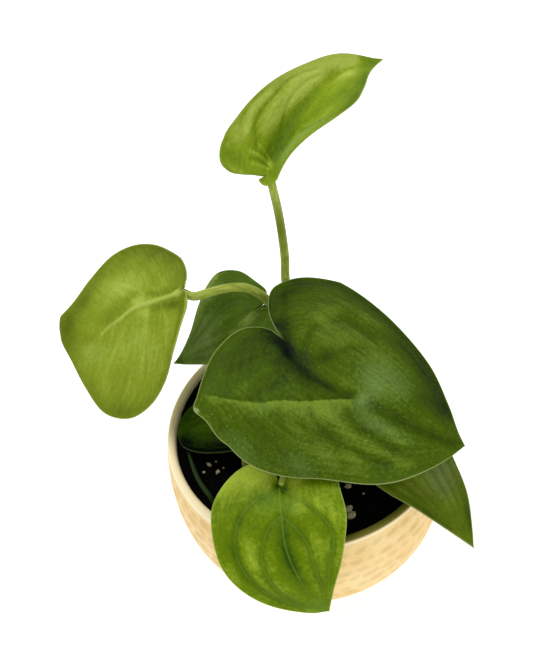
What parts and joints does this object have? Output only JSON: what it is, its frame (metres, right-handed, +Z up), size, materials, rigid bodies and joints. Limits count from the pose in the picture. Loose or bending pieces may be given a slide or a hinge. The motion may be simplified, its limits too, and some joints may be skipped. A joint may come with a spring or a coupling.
{
  "type": "potted scindapsus",
  "caption": "Small trailing house plant with heart-shaped leaves on arching stalks, in black soil in a round dimpled ceramic pot.",
  "frame": {"origin": "centre of the pot's flat underside", "axes": "+Z up along the pot's axis, -Y towards the viewer of the picture, +X to that viewer's right"},
  "size_m": [0.1692, 0.1596, 0.2007],
  "materials": {
    "cream_glaze": "satin cream glaze over hammered dimples",
    "black_soil": "matt",
    "green_stalk": "satin",
    "dark_runner": "satin",
    "light_leaf": "satin",
    "bright_leaf": "satin",
    "dark_leaf": "satin"
  },
  "bodies": {
    "root": {"pot": "cream_glaze", "soil": "black_soil", "stem_back": "green_stalk", "stem_front": "green_stalk", "stem_low": "green_stalk", "runner": "dark_runner", "leaf_top": "light_leaf", "leaf_left": "light_leaf", "leaf_front": "bright_leaf", "leaf_big": "dark_leaf", "leaf_back": "dark_leaf", "leaf_right": "dark_leaf", "leaf_low": "dark_leaf"}
  },
  "joints": []
}
